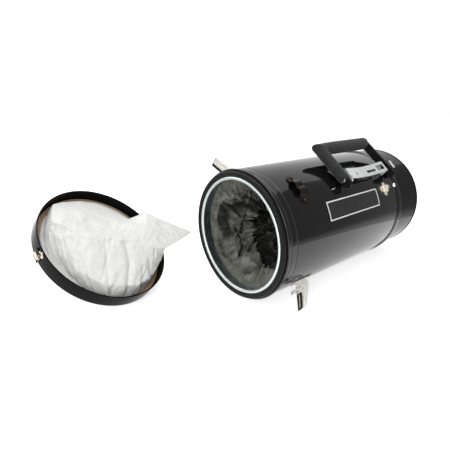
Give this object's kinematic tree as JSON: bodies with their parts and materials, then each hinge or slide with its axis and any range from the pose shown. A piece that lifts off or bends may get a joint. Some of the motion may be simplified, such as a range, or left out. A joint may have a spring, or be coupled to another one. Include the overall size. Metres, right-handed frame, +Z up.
{
  "type": "dust collector",
  "caption": "Compact canister dust collector on its side with draw latches, folding handle and cloth filter, its front cap and paper bag set down beside it",
  "frame": {"origin": "centre of the bounding box at floor level", "axes": "+Z up, +Y from the open mouth to the rear of the canister, along the longest extent; +X towards the side with the label plate"},
  "size_m": [0.3372, 0.608, 0.2193],
  "materials": {
    "enamel": "gloss black stove enamel",
    "rubber": "matt black moulded rubber",
    "foam": "black foam grip with a fine skin",
    "galvanised": "bright galvanised sheet",
    "cloth": "dark grey woven filter cloth",
    "paper": "white filter paper",
    "card": "plain grey-brown card",
    "felt": "tan sealing ring",
    "plastic": "black moulded plastic",
    "steel": "plain machined steel",
    "aluminium": "plain aluminium",
    "copper": "copper winding and segments",
    "carbon": "pressed carbon",
    "nickel": "bright nickel plate",
    "dark_nickel": "dark bronzed nickel plate"
  },
  "bodies": {
    "canister": {"main_tube": "enamel", "rear_band": "enamel", "rear_cap": "enamel", "exhaust_collar": "plastic", "switch_housing": "plastic", "cord_gland": "rubber", "rear_screw_1": "steel", "rear_screw_2": "steel", "bulkhead": "steel", "bulkhead_seal": "rubber", "fan_case": "aluminium", "diffuser": "steel", "stator_core": "steel", "field_coil_a": "copper", "field_coil_b": "copper", "brush_a": "carbon", "brush_b": "carbon", "motor_bracket": "aluminium", "bearing_front": "steel", "motor_frame": "aluminium", "bearing_rear": "steel", "latch_base_lower": "nickel", "latch_base_upper": "nickel", "handle_post_front": "nickel", "handle_post_rear": "nickel", "handle_pin_front": "steel", "handle_pin_rear": "steel", "handle_stay": "nickel", "strap_loop": "dark_nickel", "loop_screw_a": "dark_nickel", "loop_screw_b": "dark_nickel", "label_plate": "plastic", "rear_catch": "nickel", "rear_ball": "nickel"},
    "filter": {"mouth_gasket": "rubber", "filter_ring": "galvanised", "cloth_filter": "cloth"},
    "rotor": {"shaft": "steel", "shaft_nut": "steel", "impeller_front": "aluminium", "impeller_rear": "aluminium", "rotor_core": "steel", "commutator": "copper"},
    "rocker": {"switch_rocker": "plastic"},
    "handle": {"handle_bail": "enamel", "handle_grip": "foam"},
    "lever_lower": {"latch_lever_lower": "nickel"},
    "hook_lower": {"latch_hook_lower": "nickel"},
    "lever_upper": {"latch_lever_upper": "nickel"},
    "hook_upper": {"latch_hook_upper": "nickel"},
    "cap": {"cap_shell": "enamel", "cap_gasket": "felt", "cap_keeper_a": "nickel", "cap_keeper_b": "nickel", "hose_neck": "enamel"},
    "bag": {"paper_bag": "paper", "bag_card": "card"}
  },
  "joints": [
    {"name": "filter_slide", "type": "slide", "parent": "canister", "child": "filter", "axis": [0, -1, 0], "range_m": [0, 0.024]},
    {"name": "rotor_spin", "type": "hinge", "parent": "canister", "child": "rotor", "pos_m": [0.06295, 0.17578, 0.0962], "axis": [0, 1, 0], "continuous": true},
    {"name": "rocker_tilt", "type": "hinge", "parent": "canister", "child": "rocker", "pos_m": [0.06295, 0.28968, 0.1582], "axis": [-1, 0, 0], "range_deg": [0, 20]},
    {"name": "handle_fold", "type": "hinge", "parent": "canister", "child": "handle", "pos_m": [0.13589, 0.14328, 0.17173], "axis": [0, 1, 0], "range_deg": [0, 24]},
    {"name": "lever_lower_swing", "type": "hinge", "parent": "canister", "child": "lever_lower", "pos_m": [0.13993, -0.00222, 0.02928], "axis": [0.6561, 0, 0.7547], "range_deg": [0, 125]},
    {"name": "hook_lower_swing", "type": "hinge", "parent": "lever_lower", "child": "hook_lower", "pos_m": [0.14439, -0.00667, 0.0254], "axis": [0.6561, 0, 0.7547], "range_deg": [-125, 0]},
    {"name": "lever_upper_swing", "type": "hinge", "parent": "canister", "child": "lever_upper", "pos_m": [-0.01403, -0.00222, 0.16312], "axis": [-0.6561, 0, -0.7547], "range_deg": [0, 113]},
    {"name": "hook_upper_swing", "type": "hinge", "parent": "lever_upper", "child": "hook_upper", "pos_m": [-0.01909, -0.00535, 0.16752], "axis": [-0.6561, 0, -0.7547], "range_deg": [-113, 0]},
    {"name": "cap_lift", "type": "slide", "parent": "canister", "child": "cap", "axis": [0, 0, 1], "range_m": [0, 0.08]},
    {"name": "bag_pull", "type": "slide", "parent": "cap", "child": "bag", "axis": [0.5898, 0.2861, 0.7552], "range_m": [0, 0.013]}
  ],
  "couplings": [
    {"joint": "hook_lower_swing", "follows": "lever_lower_swing", "ratio": -1},
    {"joint": "hook_upper_swing", "follows": "lever_upper_swing", "ratio": -1}
  ]
}
